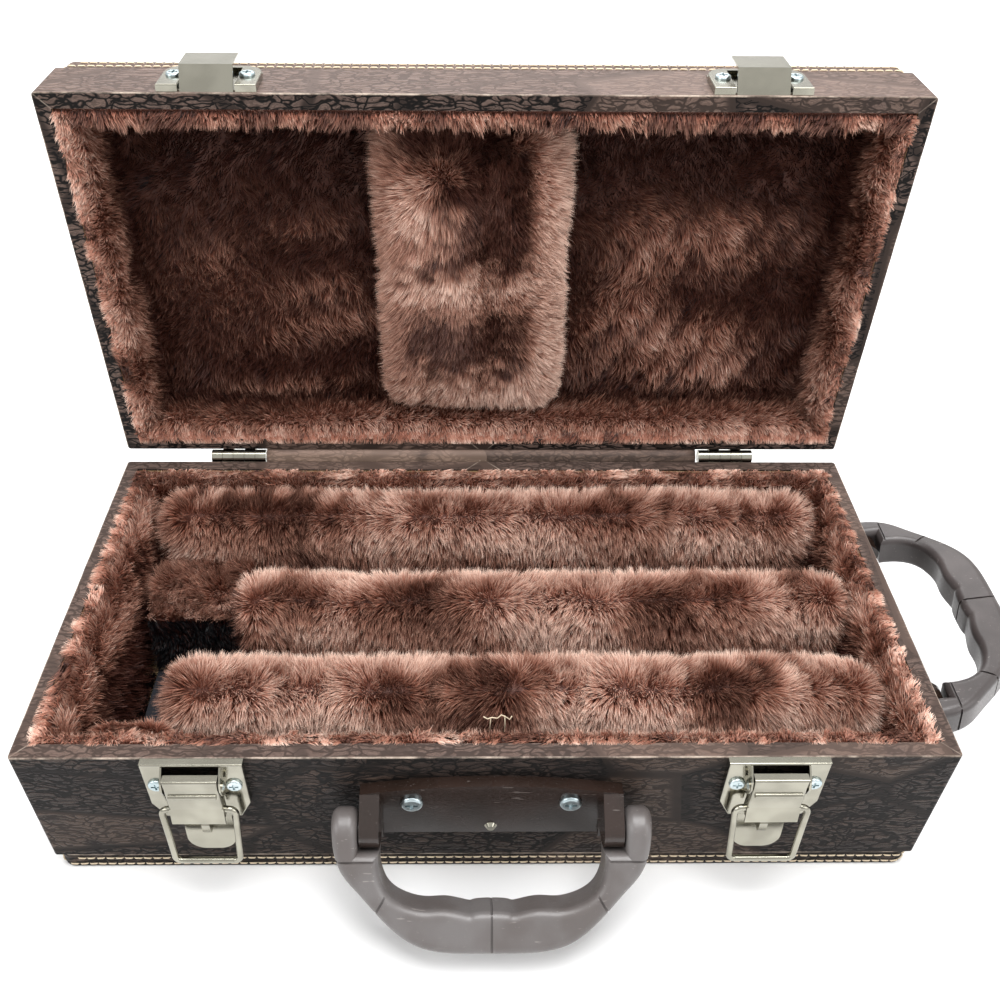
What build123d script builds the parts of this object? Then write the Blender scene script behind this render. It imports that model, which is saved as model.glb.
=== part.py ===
from build123d import *

import math
import os

# Hard case for a clarinet that is taken apart: two covered plywood shells joined by a pair
# of stop hinges, a fur-pile interior with three long ridges, two draw latches with wire
# bails, and two swinging handles. It is drawn closed and the lid pieces are then swung
# open, because the case is stored with its lid resting on the hinge stops.
# Frame: X to the right, Y to the back, Z up, origin under the middle of the base.

# ---- driving dimensions, mm ----
case_x = 360.0  # outside length of both shells
case_y = 178.0  # outside depth of both shells
base_h = 78.0  # height of the base shell
lid_h = 39.5  # height of the lid shell
rim_gap = 0.3  # gap between the two rims when closed

cover_t = 1.0  # leatherette on its paper backing
fold_t = 0.8  # leatherette folded over the rim
board_t = 5.5  # plywood walls
panel_t = 4.6  # plywood bottom and top
cap_h = 10.0  # height of the band that the end caps wrap round the walls
cap_r = 6.0  # corner radius of the end caps
pile_gap = 0.2  # air left between neighbouring fur pieces

hinge_y = case_y / 2 + 4.2  # hinge pin, behind the back wall
hinge_z = base_h
lid_angle = 90.0  # how far the lid stands open on its stops
hinge_x = 124.0  # hinge centres to the left and right
hinge_w = 27.5
knuckle_r = 3.4
pin_r = 2.0
pin_fit = 0.05  # radial running clearance of every pin

ridge_top = 69.0
floor_top = 27.0
latch_spots = (-111.0, 110.0)  # x of the latches and of their keepers
sheet_t = 0.8  # pressed steel
latch_pivot = (6.5, -9.0)  # lever pin: out from the wall, up from the base's rim
bail_pivot = (7.0, -23.0)  # bail eyes: out from the wall, up from the base's rim
bail_len = 30.0
bail_tilt = 8.0  # the hanging bail leans out by this many degrees
wire_r = 1.3

grip_pivot = (11.5, 48.0)  # handle pivot: out from the wall, height
grip_half_t = 8.6
front_handle_x = 1.6
front_droop = 52.6  # degrees below level, where its stiff pivots leave the front grip
side_handle_y = 7.5
side_droop = -10.0  # and the side grip is left standing a little above level

half_x = case_x / 2
half_y = case_y / 2
board_x = half_x - cover_t  # outer faces of the wall boards
board_y = half_y - cover_t
inner_x = board_x - board_t  # inner faces of the wall boards
inner_y = board_y - board_t
base_top = base_h - rim_gap / 2
lid_bottom = base_h + rim_gap / 2
lid_top = base_h + lid_h

hinge_axis = Axis((0, hinge_y, hinge_z), (1, 0, 0))
latch_face = Plane(origin=(0, -half_y, base_h), x_dir=(1, 0, 0), z_dir=(0, -1, 0))
front_face = Plane(origin=(front_handle_x, -half_y, 0), x_dir=(1, 0, 0), z_dir=(0, -1, 0))
right_face = Plane(origin=(half_x, side_handle_y, 0), x_dir=(0, 1, 0), z_dir=(1, 0, 0))

pan_screws = [(x + side * 14.7, -12.3) for x in latch_spots for side in (-1, 1)]
keeper_screws = [(x + side * 14.7, 12.15) for x in latch_spots for side in (-1, 1)]
bracket_screws = [(-31.0, 52.4), (31.0, 52.4)]
bracket_rivet = [(0.0, 35.3)]


def slab(x, y, z, mode=Mode.ADD):
    """A block that fills the spans x, y and z, each given as (low, high)."""
    with Locations((sum(x) / 2, sum(y) / 2, sum(z) / 2)):
        Box(x[1] - x[0], y[1] - y[0], z[1] - z[0], mode=mode)


def drill(face, spots, radius, depth, start=0.0):
    """Round holes going depth below the plane face shifted out by start."""
    for across, up in spots:
        with Locations(face.location * Location((across, up, start - depth / 2))):
            Cylinder(radius, depth, mode=Mode.SUBTRACT)


# ---- the two shells: mitred plywood walls with a panel under or over them ----
def wall_board(ends, z0, z1):
    """A board with a trapezium for its plan, mitred at both ends and rebated for the end cap."""
    rebate = (z0, cap_h) if z0 < cap_h else (lid_top - cap_h, z1)
    with BuildPart() as wall:
        with BuildSketch(Plane.XY.offset(z0)):
            with BuildLine():
                Polyline(*ends, close=True)
            make_face()
        extrude(amount=z1 - z0)
        with BuildSketch(Plane.XY.offset(rebate[0])):
            Rectangle(case_x, case_y)
            RectangleRounded(2 * board_x - 1.2, 2 * board_y - 1.2, cap_r - 1, mode=Mode.SUBTRACT)
        extrude(amount=rebate[1] - rebate[0], mode=Mode.SUBTRACT)
    return wall


front_ends = [(-board_x, -board_y), (board_x, -board_y), (inner_x, -inner_y), (-inner_x, -inner_y)]
back_ends = [(board_x, board_y), (-board_x, board_y), (-inner_x, inner_y), (inner_x, inner_y)]
left_ends = [(-board_x, board_y), (-board_x, -board_y), (-inner_x, -inner_y), (-inner_x, inner_y)]
right_ends = [(board_x, -board_y), (board_x, board_y), (inner_x, inner_y), (inner_x, -inner_y)]
base_wall_z = (sheet_t + panel_t, base_top - fold_t)
lid_wall_z = (lid_bottom + fold_t, lid_top - sheet_t - panel_t)

base_back_wall = wall_board(back_ends, *base_wall_z)
base_left_wall = wall_board(left_ends, *base_wall_z)
with BuildPart() as base_front_wall:
    add(wall_board(front_ends, *base_wall_z).part)
    drill(latch_face, pan_screws, 1.52, 6.0, -cover_t + 0.5)
    drill(front_face, bracket_screws, 1.92, 6.0, -cover_t + 0.5)
    drill(front_face, bracket_rivet, 1.52, 6.0, -cover_t + 0.5)
with BuildPart() as base_right_wall:
    add(wall_board(right_ends, *base_wall_z).part)
    drill(right_face, bracket_screws, 1.92, 6.0, -cover_t + 0.5)
    drill(right_face, bracket_rivet, 1.52, 6.0, -cover_t + 0.5)

lid_back_wall = wall_board(back_ends, *lid_wall_z)
lid_left_wall = wall_board(left_ends, *lid_wall_z)
lid_right_wall = wall_board(right_ends, *lid_wall_z)
with BuildPart() as lid_front_wall:
    add(wall_board(front_ends, *lid_wall_z).part)
    drill(latch_face, keeper_screws, 1.52, 5.0, -cover_t + 0.5)


def panel(z0):
    """The plywood panel inside an end cap."""
    with BuildPart() as board:
        with BuildSketch(Plane.XY.offset(z0)):
            RectangleRounded(2 * board_x - 1.2, 2 * board_y - 1.2, cap_r - 1)
        extrude(amount=panel_t)
    return board


def end_cap(z_flat, z_open):
    """A shallow leatherette tray that closes a shell, with rounded corners."""
    rise = z_open - z_flat
    with BuildPart() as cap:
        with BuildSketch(Plane.XY.offset(z_flat)):
            RectangleRounded(case_x - 1.2, case_y - 1.2, cap_r)
        extrude(amount=rise)
        rim = cap.faces().sort_by(Axis.Z)[0 if rise > 0 else -1].edges()
        fillet(rim, 0.7)
        with BuildSketch(Plane.XY.offset(z_open)):
            RectangleRounded(2 * board_x - 1.2, 2 * board_y - 1.2, cap_r - 1)
        extrude(amount=-rise + math.copysign(sheet_t, rise), mode=Mode.SUBTRACT)
    return cap


base_bottom_board = panel(sheet_t)
base_bottom_cap = end_cap(0, cap_h)
lid_top_board = panel(lid_top - sheet_t - panel_t)
lid_top_cap = end_cap(lid_top, lid_top - cap_h)


def covering(z_rim, z_cap):
    """Leatherette round four walls, folded inwards over the rim."""
    inward = math.copysign(fold_t, z_cap - z_rim)
    with BuildPart() as skin:
        with BuildSketch(Plane.XY.offset(z_rim)):
            RectangleRounded(case_x, case_y, 1.6)
        extrude(amount=z_cap - z_rim)
        with BuildSketch(Plane.XY.offset(z_rim + inward)):
            Rectangle(2 * board_x, 2 * board_y)
        extrude(amount=z_cap - z_rim - inward, mode=Mode.SUBTRACT)
        with BuildSketch(Plane.XY.offset(z_rim)):
            Rectangle(2 * inner_x, 2 * inner_y)
        extrude(amount=inward, mode=Mode.SUBTRACT)
        outer = skin.faces().sort_by(Axis.Z)[-1 if inward < 0 else 0].outer_wire()
        fillet(outer.edges(), 0.5)
    return skin


with BuildPart() as base_covering:
    add(covering(base_top, cap_h + 0.4).part)
    drill(latch_face, pan_screws, 1.52, 2.0, 0.5)
    drill(front_face, bracket_screws, 1.92, 2.0, 0.5)
    drill(front_face, bracket_rivet, 1.52, 2.0, 0.5)
    drill(right_face, bracket_screws, 1.92, 2.0, 0.5)
    drill(right_face, bracket_rivet, 1.52, 2.0, 0.5)
with BuildPart() as lid_covering:
    add(covering(lid_bottom, lid_top - cap_h - 0.4).part)
    drill(latch_face, keeper_screws, 1.52, 2.0, 0.5)


# ---- fur-pile interior, each piece drawn to the tips of its pile ----
base_in = base_wall_z[0] + pile_gap  # top of the bottom panel
pile_x = inner_x - pile_gap
pile_y = inner_y - pile_gap
left_pile = -160.0  # inner faces of the four wall liners
right_pile = 166.0
front_pile = -76.6
back_pile = 78.8
pile_top = base_h - 2.0


def liner(x, y, z, toward):
    """A wall liner with its free upper edge, on the side named by toward, rolled over."""
    with BuildPart() as pad:
        slab(x, y, z)
        free = pad.faces().sort_by(Axis.Z)[-1].edges().sort_by(toward)[-1]
        fillet(free, min(x[1] - x[0], y[1] - y[0]) * 0.6)
    return pad


across = (left_pile + pile_gap, right_pile - pile_gap)
base_left_liner = liner((-pile_x, left_pile), (-pile_y, pile_y), (base_in, pile_top), Axis.X)
base_right_liner = liner((right_pile, pile_x), (-pile_y, pile_y), (base_in, pile_top), -Axis.X)
base_front_liner = liner(across, (-pile_y, front_pile), (base_in, pile_top), Axis.Y)
base_back_liner = liner(across, (back_pile, pile_y), (base_in, pile_top), -Axis.Y)

well = ((left_pile + pile_gap, -118.0), (-58.0, 11.0))  # plan of the bell well
with BuildPart() as base_floor_liner:
    slab(across, (front_pile + pile_gap, back_pile - pile_gap), (base_in, floor_top))
    slab((-170, well[0][1]), well[1], (0, 40), Mode.SUBTRACT)
with BuildPart() as bell_well_floor:
    well_y = (well[1][0] + pile_gap, well[1][1] - pile_gap)
    slab((well[0][0], well[0][1] - pile_gap), well_y, (base_in, 9.0))


def ridge(x, y, z, end_r, top_r):
    """A long fur-covered partition with rounded ends and a rolled top."""
    with BuildPart() as bar:
        slab(x, y, z)
        fillet(bar.edges().filter_by(Axis.Z), end_r)
        fillet(bar.faces().sort_by(Axis.Z)[-1].edges(), top_r)
    return bar


ridge_z = (floor_top + pile_gap, ridge_top)
block_z = (floor_top + pile_gap, ridge_top - 2.0)
back_ridge = ridge((-159.6, 164.4), (51.0, 78.4), ridge_z, 11.0, 9.0)
middle_ridge = ridge((-112.8, 165.6), (-6.0, 19.2), ridge_z, 11.0, 9.0)
front_ridge = ridge((-134.0, 165.6), (-57.6, -30.3), ridge_z, 11.0, 9.0)
front_end_block = ridge((-159.6, -127.0), (-76.2, -58.4), block_z, 5.0, 6.0)
with BuildPart() as barrel_shelf:
    with BuildSketch(Plane.XY.offset(floor_top + pile_gap)):
        with BuildLine():
            Polyline((-159.6, 50.5), (-159.6, 11.7), (-113.8, 11.7), (-113.8, 50.5), close=True)
        make_face()
    extrude(amount=20.0)
    fillet(barrel_shelf.faces().sort_by(Axis.Z)[-1].edges().sort_by(Axis.Y)[0], 9.0)

roof_bottom = lid_top - 9.8
lid_pile_z = (lid_bottom + 1.9, roof_bottom - pile_gap)
lid_across = (-160.5 + pile_gap, 160.5 - pile_gap)
with BuildPart() as lid_roof_liner:
    slab((-pile_x, pile_x), (-pile_y, pile_y), (roof_bottom, lid_wall_z[1] - pile_gap))


def lid_liner(x, y, toward):
    """A lid wall liner; its free edge is the lower one while the case is shut."""
    with BuildPart() as pad:
        slab(x, y, lid_pile_z)
        free = pad.faces().sort_by(Axis.Z)[0].edges().sort_by(toward)[-1]
        fillet(free, 6.5)
    return pad


lid_left_liner = lid_liner((-pile_x, -160.5), (-pile_y, pile_y), Axis.X)
lid_right_liner = lid_liner((160.5, pile_x), (-pile_y, pile_y), -Axis.X)
lid_front_liner = lid_liner(lid_across, (-pile_y, -71.0), Axis.Y)
lid_back_liner = lid_liner(lid_across, (71.0, pile_y), -Axis.Y)
with BuildPart() as lid_centre_pad:
    slab((-46.0, 34.8), (-70.6, 70.6), (lid_bottom + 5.8, lid_pile_z[1]))
    fillet(lid_centre_pad.edges().filter_by(Axis.Z), 6.0)
    fillet(lid_centre_pad.faces().sort_by(Axis.Z)[0].edges(), 7.0)


# ---- stop hinges on the back wall, and the leatherette strip between them ----
leaf_t = 1.2
leaf_gap = 4.2  # each leaf starts this far from the pin's height
knuckle_w = hinge_w / 5
knuckle_play = 0.1
leaf_rivets = [(side * 9.2, 12.0) for side in (-1, 1)] + [(0.0, 15.0)]


def knuckle_span(x, number):
    """The x span of one of a hinge's five knuckles, with side play."""
    low = x - hinge_w / 2 + number * knuckle_w
    return low + knuckle_play, low + knuckle_w - knuckle_play


def hinge_leaf(x, up, numbers):
    """A leaf on the back wall with its rolled knuckles; up is 1 above the pin, -1 below."""
    with BuildPart() as leaf:
        face = Plane(origin=(x, half_y, hinge_z), x_dir=(-1, 0, 0), z_dir=(0, 1, 0))
        with BuildSketch(face):
            with Locations((0, up * (leaf_gap + 7.4))):
                RectangleRounded(hinge_w, 14.8, 1.5)
            with Locations(*[(a, up * b) for a, b in leaf_rivets]):
                Circle(1.22, mode=Mode.SUBTRACT)
        extrude(amount=leaf_t)
        for number in numbers:
            low, high = knuckle_span(x, number)
            with BuildSketch(Plane.YZ.offset(low)):
                with Locations((hinge_y, hinge_z)):
                    Circle(knuckle_r)
                with BuildLine():
                    Polyline(
                        (half_y, hinge_z + up * (leaf_gap + 1)),
                        (half_y + leaf_t, hinge_z + up * (leaf_gap + 1)),
                        (hinge_y - 1.2, hinge_z + up * 3.1),
                        (hinge_y - 3.3, hinge_z),
                        close=True,
                    )
                make_face()
                with Locations((hinge_y, hinge_z)):
                    Circle(pin_r + pin_fit, mode=Mode.SUBTRACT)
            extrude(amount=high - low)
    return leaf


def upper_hinge(x):
    """The lid's leaf, swung open, with the stop lug that meets the base leaf."""
    closed = hinge_leaf(x, 1, (1, 3))
    with BuildPart() as leaf:
        add(closed.part.rotate(hinge_axis, -lid_angle))
        for number in (1, 3):
            low, high = knuckle_span(x, number)
            with BuildSketch(Plane.YZ.offset(low)):
                with BuildLine():
                    Polyline(
                        (half_y + leaf_t + 0.1, hinge_z - 7.0),
                        (half_y + leaf_t + 2.0, hinge_z - 7.0),
                        (hinge_y + 1.4, hinge_z - 2.9),
                        (hinge_y - 1.8, hinge_z - 2.7),
                        (half_y + leaf_t + 0.1, hinge_z - 4.4),
                        close=True,
                    )
                make_face()
            extrude(amount=high - low)
    return leaf


def pins_through(spots, radius, length):
    """Plain round pins along X on the hinge line."""
    with BuildPart() as pins:
        for x in spots:
            with Locations(Location((x, hinge_y, hinge_z), (0, 90, 0))):
                Cylinder(radius, length)
    return pins


hinge_left_lower = hinge_leaf(-hinge_x, -1, (0, 2, 4))
hinge_right_lower = hinge_leaf(hinge_x, -1, (0, 2, 4))
hinge_left_upper = upper_hinge(-hinge_x)
hinge_right_upper = upper_hinge(hinge_x)
hinge_pins = pins_through((-hinge_x, hinge_x), pin_r, hinge_w)


def leaf_rivet_heads(up):
    """Domed rivet heads on both hinges' leaves, above or below the pin."""
    with BuildPart() as heads:
        for x in (-hinge_x, hinge_x):
            for a, b in leaf_rivets:
                spot = (x - a, half_y, hinge_z + up * b)
                face = Plane(origin=spot, x_dir=(-1, 0, 0), z_dir=(0, 1, 0))
                with Locations(face.location * Location((0, 0, leaf_t / 2))):
                    Cylinder(1.2, leaf_t)
                with Locations(face.location * Location((0, 0, leaf_t + 0.4))):
                    Cone(2.1, 1.3, 0.8)
    return heads


hinge_lower_rivets = leaf_rivet_heads(-1)
hinge_upper_rivets = leaf_rivet_heads(1)
strip_x = (-109.8, 108.6)
with BuildPart() as hinge_strip_lower:
    slab(strip_x, (half_y, half_y + 0.8), (hinge_z - 17.0, hinge_z - 2.5))
with BuildPart() as hinge_strip_upper:
    slab(strip_x, (half_y, half_y + 0.8), (hinge_z + 2.5, hinge_z + 17.0))


# ---- draw latches: pan, lever, bail; heights are taken from the base's rim ----
def wall_planes(x):
    """Planes at a latch: one on the wall's face, one square to it for profiles (out, up)."""
    face = Plane(origin=(x, -half_y, base_h), x_dir=(1, 0, 0), z_dir=(0, -1, 0))
    side = Plane(origin=(x, -half_y, base_h), x_dir=(0, -1, 0), z_dir=(-1, 0, 0))
    return face, side


def profile(plane, points, half_length):
    """A bar with this section, drawn on the plane and grown to both sides of it."""
    with BuildPart() as bar:
        with BuildSketch(plane):
            with BuildLine():
                Polyline(*points, close=True)
            make_face()
        extrude(amount=half_length, both=True)
    return bar.part


def pan_outline(inset):
    """Corner points of the latch pan, square above and tapered at the foot."""
    w = 19.25 - inset
    top = -0.2 - inset
    foot = -34 + inset
    return [(-w, top), (-w, -25), (-w + 4.5, foot), (w - 4.5, foot), (w, -25), (w, top)]


def pan_tongue(face, side):
    """The tongue that slopes out below the pan and carries the staple."""
    with BuildPart() as tongue:
        add(profile(side, [(0.3, -33.1), (1.1, -33.1), (3.4, -57), (2.6, -57)], 9.8))
        with BuildSketch(face) as tip:
            with Locations((0, -44.5)):
                Rectangle(19.6, 25)
            fillet(tip.vertices().sort_by(Axis.Y)[:2], 7.0)
        extrude(amount=5, mode=Mode.INTERSECT)
    return tongue.part


cheek_outline = [(2.4, -1), (3.6, -1), (8, -5), (9, -9), (8, -12.5), (5, -16), (2.4, -16.6)]
staple_outline = [(0.8, -35.5), (3.6, -35.5), (5.4, -37.4), (5.4, -41.4), (4.6, -43.4), (1.6, -43.4)]


def latch_pan(x):
    """The pressed pan: lever window and cheeks, and the tongue below with its staple."""
    face, side = wall_planes(x)
    tongue = pan_tongue(face, side)
    staple = profile(side, staple_outline, 1.6)
    cheeks = [profile(side.offset(cheek), cheek_outline, 0.35) for cheek in (-10.95, 10.95)]
    with BuildPart() as pan:
        with BuildSketch(face):
            with BuildLine():
                Polyline(*pan_outline(0), close=True)
            make_face()
        extrude(amount=3.2)
        fillet(pan.faces().sort_by(Axis.Y)[0].edges(), 0.6)
        with BuildSketch(face):
            with BuildLine():
                Polyline(*pan_outline(sheet_t), close=True)
            make_face()
        extrude(amount=3.2 - sheet_t, mode=Mode.SUBTRACT)
        with BuildSketch(face):
            with Locations((0, -8.1)):
                Rectangle(21.5, 13.4)
            with Locations((-14.7, -12.3), (14.7, -12.3)):
                Circle(1.52)
        extrude(amount=5, mode=Mode.SUBTRACT)
        add(cheeks)
        with BuildSketch(side):
            with Locations(latch_pivot):
                Circle(1.2 + pin_fit)
        extrude(amount=12, both=True, mode=Mode.SUBTRACT)
        add(tongue)
        add(staple)
    return pan


lever_outline = [
    (5.2, -3.3), (8.8, -3.3), (8.8, -26.4), (5.6, -26.4),
    (4.7, -24.6), (4.7, -19), (4.2, -15), (4.2, -6),
]  # fmt: skip
lever_hollow = [(0, -27), (8.1, -27), (8.1, -4), (0, -4)]
lever_flap = [(8.1, -20.5), (8.8, -20.5), (9.9, -28.8), (9.2, -28.8)]


def latch_lever(x):
    """The folded lever: top, front with a pressed bead, flared flap and two side flanges."""
    _, side = wall_planes(x)
    hollow = profile(side, lever_hollow, 9.6)
    flap = profile(side, lever_flap, 10.3)
    with BuildPart() as lever:
        add(profile(side, lever_outline, 10.3))
        front = lever.faces().sort_by(Axis.Y)[0].edges()
        fillet(front.filter_by(Axis.Z) + front.filter_by(Axis.X).sort_by(Axis.Z)[-1:], 0.9)
        add(hollow, mode=Mode.SUBTRACT)
        add(flap)
        with BuildSketch(side):
            with Locations((8.7, -12.1)):
                Circle(1.2)
        extrude(amount=9.0, both=True)
        for centre, radius in ((latch_pivot, 1.2), (bail_pivot, wire_r)):
            with BuildSketch(side):
                with Locations(centre):
                    Circle(radius + pin_fit)
            extrude(amount=12, both=True, mode=Mode.SUBTRACT)
    return lever


def latch_bail(x):
    """The bent wire bail, hanging from its two turned-in eyes."""
    lean = math.radians(bail_tilt)
    hang = Plane(
        origin=(x, -half_y - bail_pivot[0], base_h + bail_pivot[1]),
        x_dir=(1, 0, 0),
        z_dir=(0, math.cos(lean), -math.sin(lean)),
    )
    bend = ((-9.3, 0), (-14.3, 0), (-12.7, bail_len), (12.7, bail_len), (14.3, 0), (9.3, 0))
    with BuildPart() as bail:
        with BuildLine(hang) as path:
            FilletPolyline(*bend, radius=2.6)
        with BuildSketch(Plane(origin=path.wire() @ 0, z_dir=path.wire() % 0)):
            Circle(wire_r)
        sweep(path=path.wire())
    return bail


latch_left_pan = latch_pan(latch_spots[0])
latch_right_pan = latch_pan(latch_spots[1])
latch_left_lever = latch_lever(latch_spots[0])
latch_right_lever = latch_lever(latch_spots[1])
latch_left_bail = latch_bail(latch_spots[0])
latch_right_bail = latch_bail(latch_spots[1])

with BuildPart() as latch_pivot_pins:
    for x in latch_spots:
        for half_length, radius in ((11.3, 1.2), (0.25, 1.9)):
            ends = (0,) if half_length > 1 else (-11.55, 11.55)
            for end in ends:
                spot = (x + end, -half_y - latch_pivot[0], base_h + latch_pivot[1])
                with Locations(Location(spot, (0, 90, 0))):
                    Cylinder(radius, 2 * half_length)


hook_outline = [(9, 20.6), (9, 6.6), (0, 1.1), (0, 2.04), (8.2, 7.05), (8.2, 20.6)]


def keeper(x):
    """The lid's half of a latch: a stand-off plate with two ears and a hook for the bail."""
    face, side = wall_planes(x)
    hook = profile(side, hook_outline, 10.6)
    with BuildPart() as plate:
        with BuildSketch(face) as outline:
            with Locations((0, 12.5)):
                Rectangle(39.6, 23.0)
            fillet(outline.vertices().sort_by(Axis.Y)[2:], 8.0)
        extrude(amount=3.0)
        fillet(plate.faces().sort_by(Axis.Y)[0].edges(), 0.5)
        with BuildSketch(face) as inside:
            with Locations((0, 12.5)):
                Rectangle(38.0, 21.4)
            fillet(inside.vertices().sort_by(Axis.Y)[2:], 7.2)
        extrude(amount=2.2, mode=Mode.SUBTRACT)
        with BuildSketch(face):
            with Locations((0, 11.2)):
                Rectangle(22.8, 20.4)
        extrude(amount=4, mode=Mode.SUBTRACT)
        with BuildSketch(face):
            with Locations((0, 12.4)):
                Rectangle(38.2, 20.8)
        extrude(amount=0.7)
        add(hook)
        with BuildSketch(face):
            with Locations((-14.7, 12.15), (14.7, 12.15)):
                Circle(1.52)
        extrude(amount=5, mode=Mode.SUBTRACT)
    return plate


keeper_left = keeper(latch_spots[0])
keeper_right = keeper(latch_spots[1])


def cross_screw(head_r, head_h, shank_r, length):
    """One cross-recessed pan-head screw, standing on the plane under its head."""
    with BuildPart() as screw:
        with BuildSketch():
            Circle(head_r)
        extrude(amount=head_h)
        fillet(screw.faces().sort_by(Axis.Z)[-1].edges(), head_h * 0.7)
        with BuildSketch(Plane.XY.offset(head_h)):
            Rectangle(head_r * 1.1, head_r * 0.26)
            Rectangle(head_r * 0.26, head_r * 1.1)
        extrude(amount=-head_h * 0.45, mode=Mode.SUBTRACT)
        with BuildSketch():
            Circle(shank_r)
        extrude(amount=-length)
    return screw.part


def screws(face, spots, seat, screw):
    """Copies of a screw on these spots, with their heads at this height over the plane face."""
    with BuildPart() as group:
        for across, up in spots:
            add(screw.moved(face.location * Location((across, up, seat))))
    return group


latch_screws = screws(latch_face, pan_screws, 3.2, cross_screw(3.2, 1.3, 1.5, 9.0))
keeper_screw_group = screws(latch_face, keeper_screws, 3.0, cross_screw(3.2, 1.3, 1.5, 8.0))


# ---- swinging handles: moulded bracket with two lugs, moulded grip with two pegs ----
plate_w = 2.6
arch_w = 4.8
lug_x = (43.0, 50.6)
lug_r = 6.9
peg_r = 3.0
arm_x = 51.2  # inner face of the grip's arms


def across_plane(face, across):
    """A plane square to the wall face, for profiles drawn as (out, up)."""
    origin = face.from_local_coords(Vector(across, 0, 0))
    return Plane(origin=origin, x_dir=face.z_dir, z_dir=face.z_dir.cross(Vector(0, 0, 1)))


def arch_outline(half, end_z, rise, foot):
    """The edge of an arched plate: a flat arc above, square corners below."""
    ThreePointArc((-half, end_z), (0, end_z + rise), (half, end_z))
    Polyline((half, end_z), (half, foot), (-half, foot), (-half, end_z))


def handle_bracket(face):
    """A recessed plate under a raised arch that ends in a rounded lug on each side."""
    with BuildPart() as bracket:
        with BuildSketch(face):
            with BuildLine():
                arch_outline(lug_x[1], 60.9, 5.3, 31)
            make_face()
        extrude(amount=arch_w)
        with BuildSketch(face.offset(plate_w)) as recess:
            with BuildLine():
                arch_outline(lug_x[0], 58.9, 5.3, 27)
            make_face()
            fillet(recess.vertices().sort_by(Axis.Y)[2:], 7.0)
        extrude(amount=5, mode=Mode.SUBTRACT)
        for side in (-1, 1):
            with BuildSketch(across_plane(face, side * sum(lug_x) / 2)):
                with Locations(grip_pivot):
                    Circle(lug_r)
                with Locations((arch_w / 2, 49.5)):
                    Rectangle(arch_w, 22.8)
                make_hull()
            extrude(amount=(lug_x[1] - lug_x[0]) / 2, both=True)
        for side in (-1, 1):
            with BuildSketch(across_plane(face, side * (lug_x[1] - 2.75))):
                with Locations(grip_pivot):
                    Circle(peg_r + pin_fit)
            extrude(amount=2.75, both=True, mode=Mode.SUBTRACT)
        with BuildSketch(face):
            with Locations(*bracket_screws):
                Circle(1.92)
            with Locations(*bracket_rivet):
                Circle(1.52)
        extrude(amount=4, mode=Mode.SUBTRACT)
    return bracket


def plane_axis(plane):
    """The axis along a plane's normal."""
    return Axis(plane.origin, plane.z_dir)


def grip_outline(inset):
    """The grip's outline, all edges moved in by the inset: bowed outside, waved inside."""
    with BuildSketch(Plane.XY) as shape:
        with BuildLine():
            outer = Spline(
                (0, 46.5 - inset),
                (33 - inset * 0.4, 41.2 - inset * 0.9),
                (51.8 - inset * 0.9, 22 - inset * 0.4),
                (60.8 - inset, 3),
                tangents=((1, 0), (0.1, -1)),
            )
            Polyline(
                outer @ 1,
                (61.6 - inset, -grip_half_t),
                (arm_x + inset, -grip_half_t),
                (arm_x + inset, 7.5 + inset),
                (43.2 - inset, 7.5 + inset),
            )
            inner = Spline(
                (43.2 - inset, 7.5 + inset),
                (43.0 - inset, 15 + inset * 0.3),
                (39.6 - inset * 0.7, 23 + inset * 0.7),
                (32.5 - inset * 0.2, 27.6 + inset),
                (25, 29.2 + inset),
                (17.5, 29.0 + inset),
                (8.5, 30.8 + inset),
                (0, 29.9 + inset),
                tangents=((0.1, 1), (-1, 0)),
            )
            Line(inner @ 1, outer @ 0)
        make_face()
        mirror(about=Plane.YZ)
    return shape.sketch


def handle_grip(face, droop):
    """The moulded grip: two arms, a waved finger side, and moulded rings round it."""
    lean = math.radians(droop)
    reach = face.z_dir * math.cos(lean) - Vector(0, 0, 1) * math.sin(lean)
    pivot = face.from_local_coords(Vector(0, grip_pivot[1], grip_pivot[0]))
    plane = Plane(origin=pivot, x_dir=face.x_dir, z_dir=face.x_dir.cross(reach))
    end = Plane(origin=pivot, x_dir=reach, z_dir=face.x_dir)
    ring_spots = ((0, 38, 0), (43, 27.5, 30), (-43, 27.5, -30), (51, 9.8, 90), (-51, 9.8, 90))
    with BuildPart() as core:
        with BuildSketch(plane):
            add(grip_outline(0.9))
        extrude(amount=grip_half_t - 0.9, both=True)
    with BuildPart() as rings:
        for across, along, turn in ring_spots:
            with BuildSketch(plane.offset(-12)):
                with Locations(Location((across, along, 0), (0, 0, -turn))):
                    Rectangle(0.9, 30)
            extrude(amount=24)
        add(core.part, mode=Mode.SUBTRACT)
    with BuildPart() as grip:
        with BuildSketch(plane):
            add(grip_outline(0))
        extrude(amount=grip_half_t, both=True)
        with BuildSketch(end):
            Circle(grip_half_t)
            with Locations((35, 0)):
                Rectangle(70, 2 * grip_half_t)
        extrude(amount=80, both=True, mode=Mode.INTERSECT)
        flats = grip.faces().sort_by(plane_axis(plane))
        fillet(flats[0].edges() + flats[-1].edges(), 3.4)
        add(rings.part, mode=Mode.SUBTRACT)
        for side in (-1, 1):
            with BuildSketch(end.offset(side * (arm_x - 2.6))):
                Circle(peg_r)
            extrude(amount=2.9, both=True)
    return grip


front_handle_bracket = handle_bracket(front_face)
side_handle_bracket = handle_bracket(right_face)
front_handle_grip = handle_grip(front_face, front_droop)
side_handle_grip = handle_grip(right_face, side_droop)
bracket_screw = cross_screw(4.4, 1.9, 1.9, 8.4)
front_bracket_screws = screws(front_face, bracket_screws, plate_w, bracket_screw)
side_bracket_screws = screws(right_face, bracket_screws, plate_w, bracket_screw)


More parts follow.
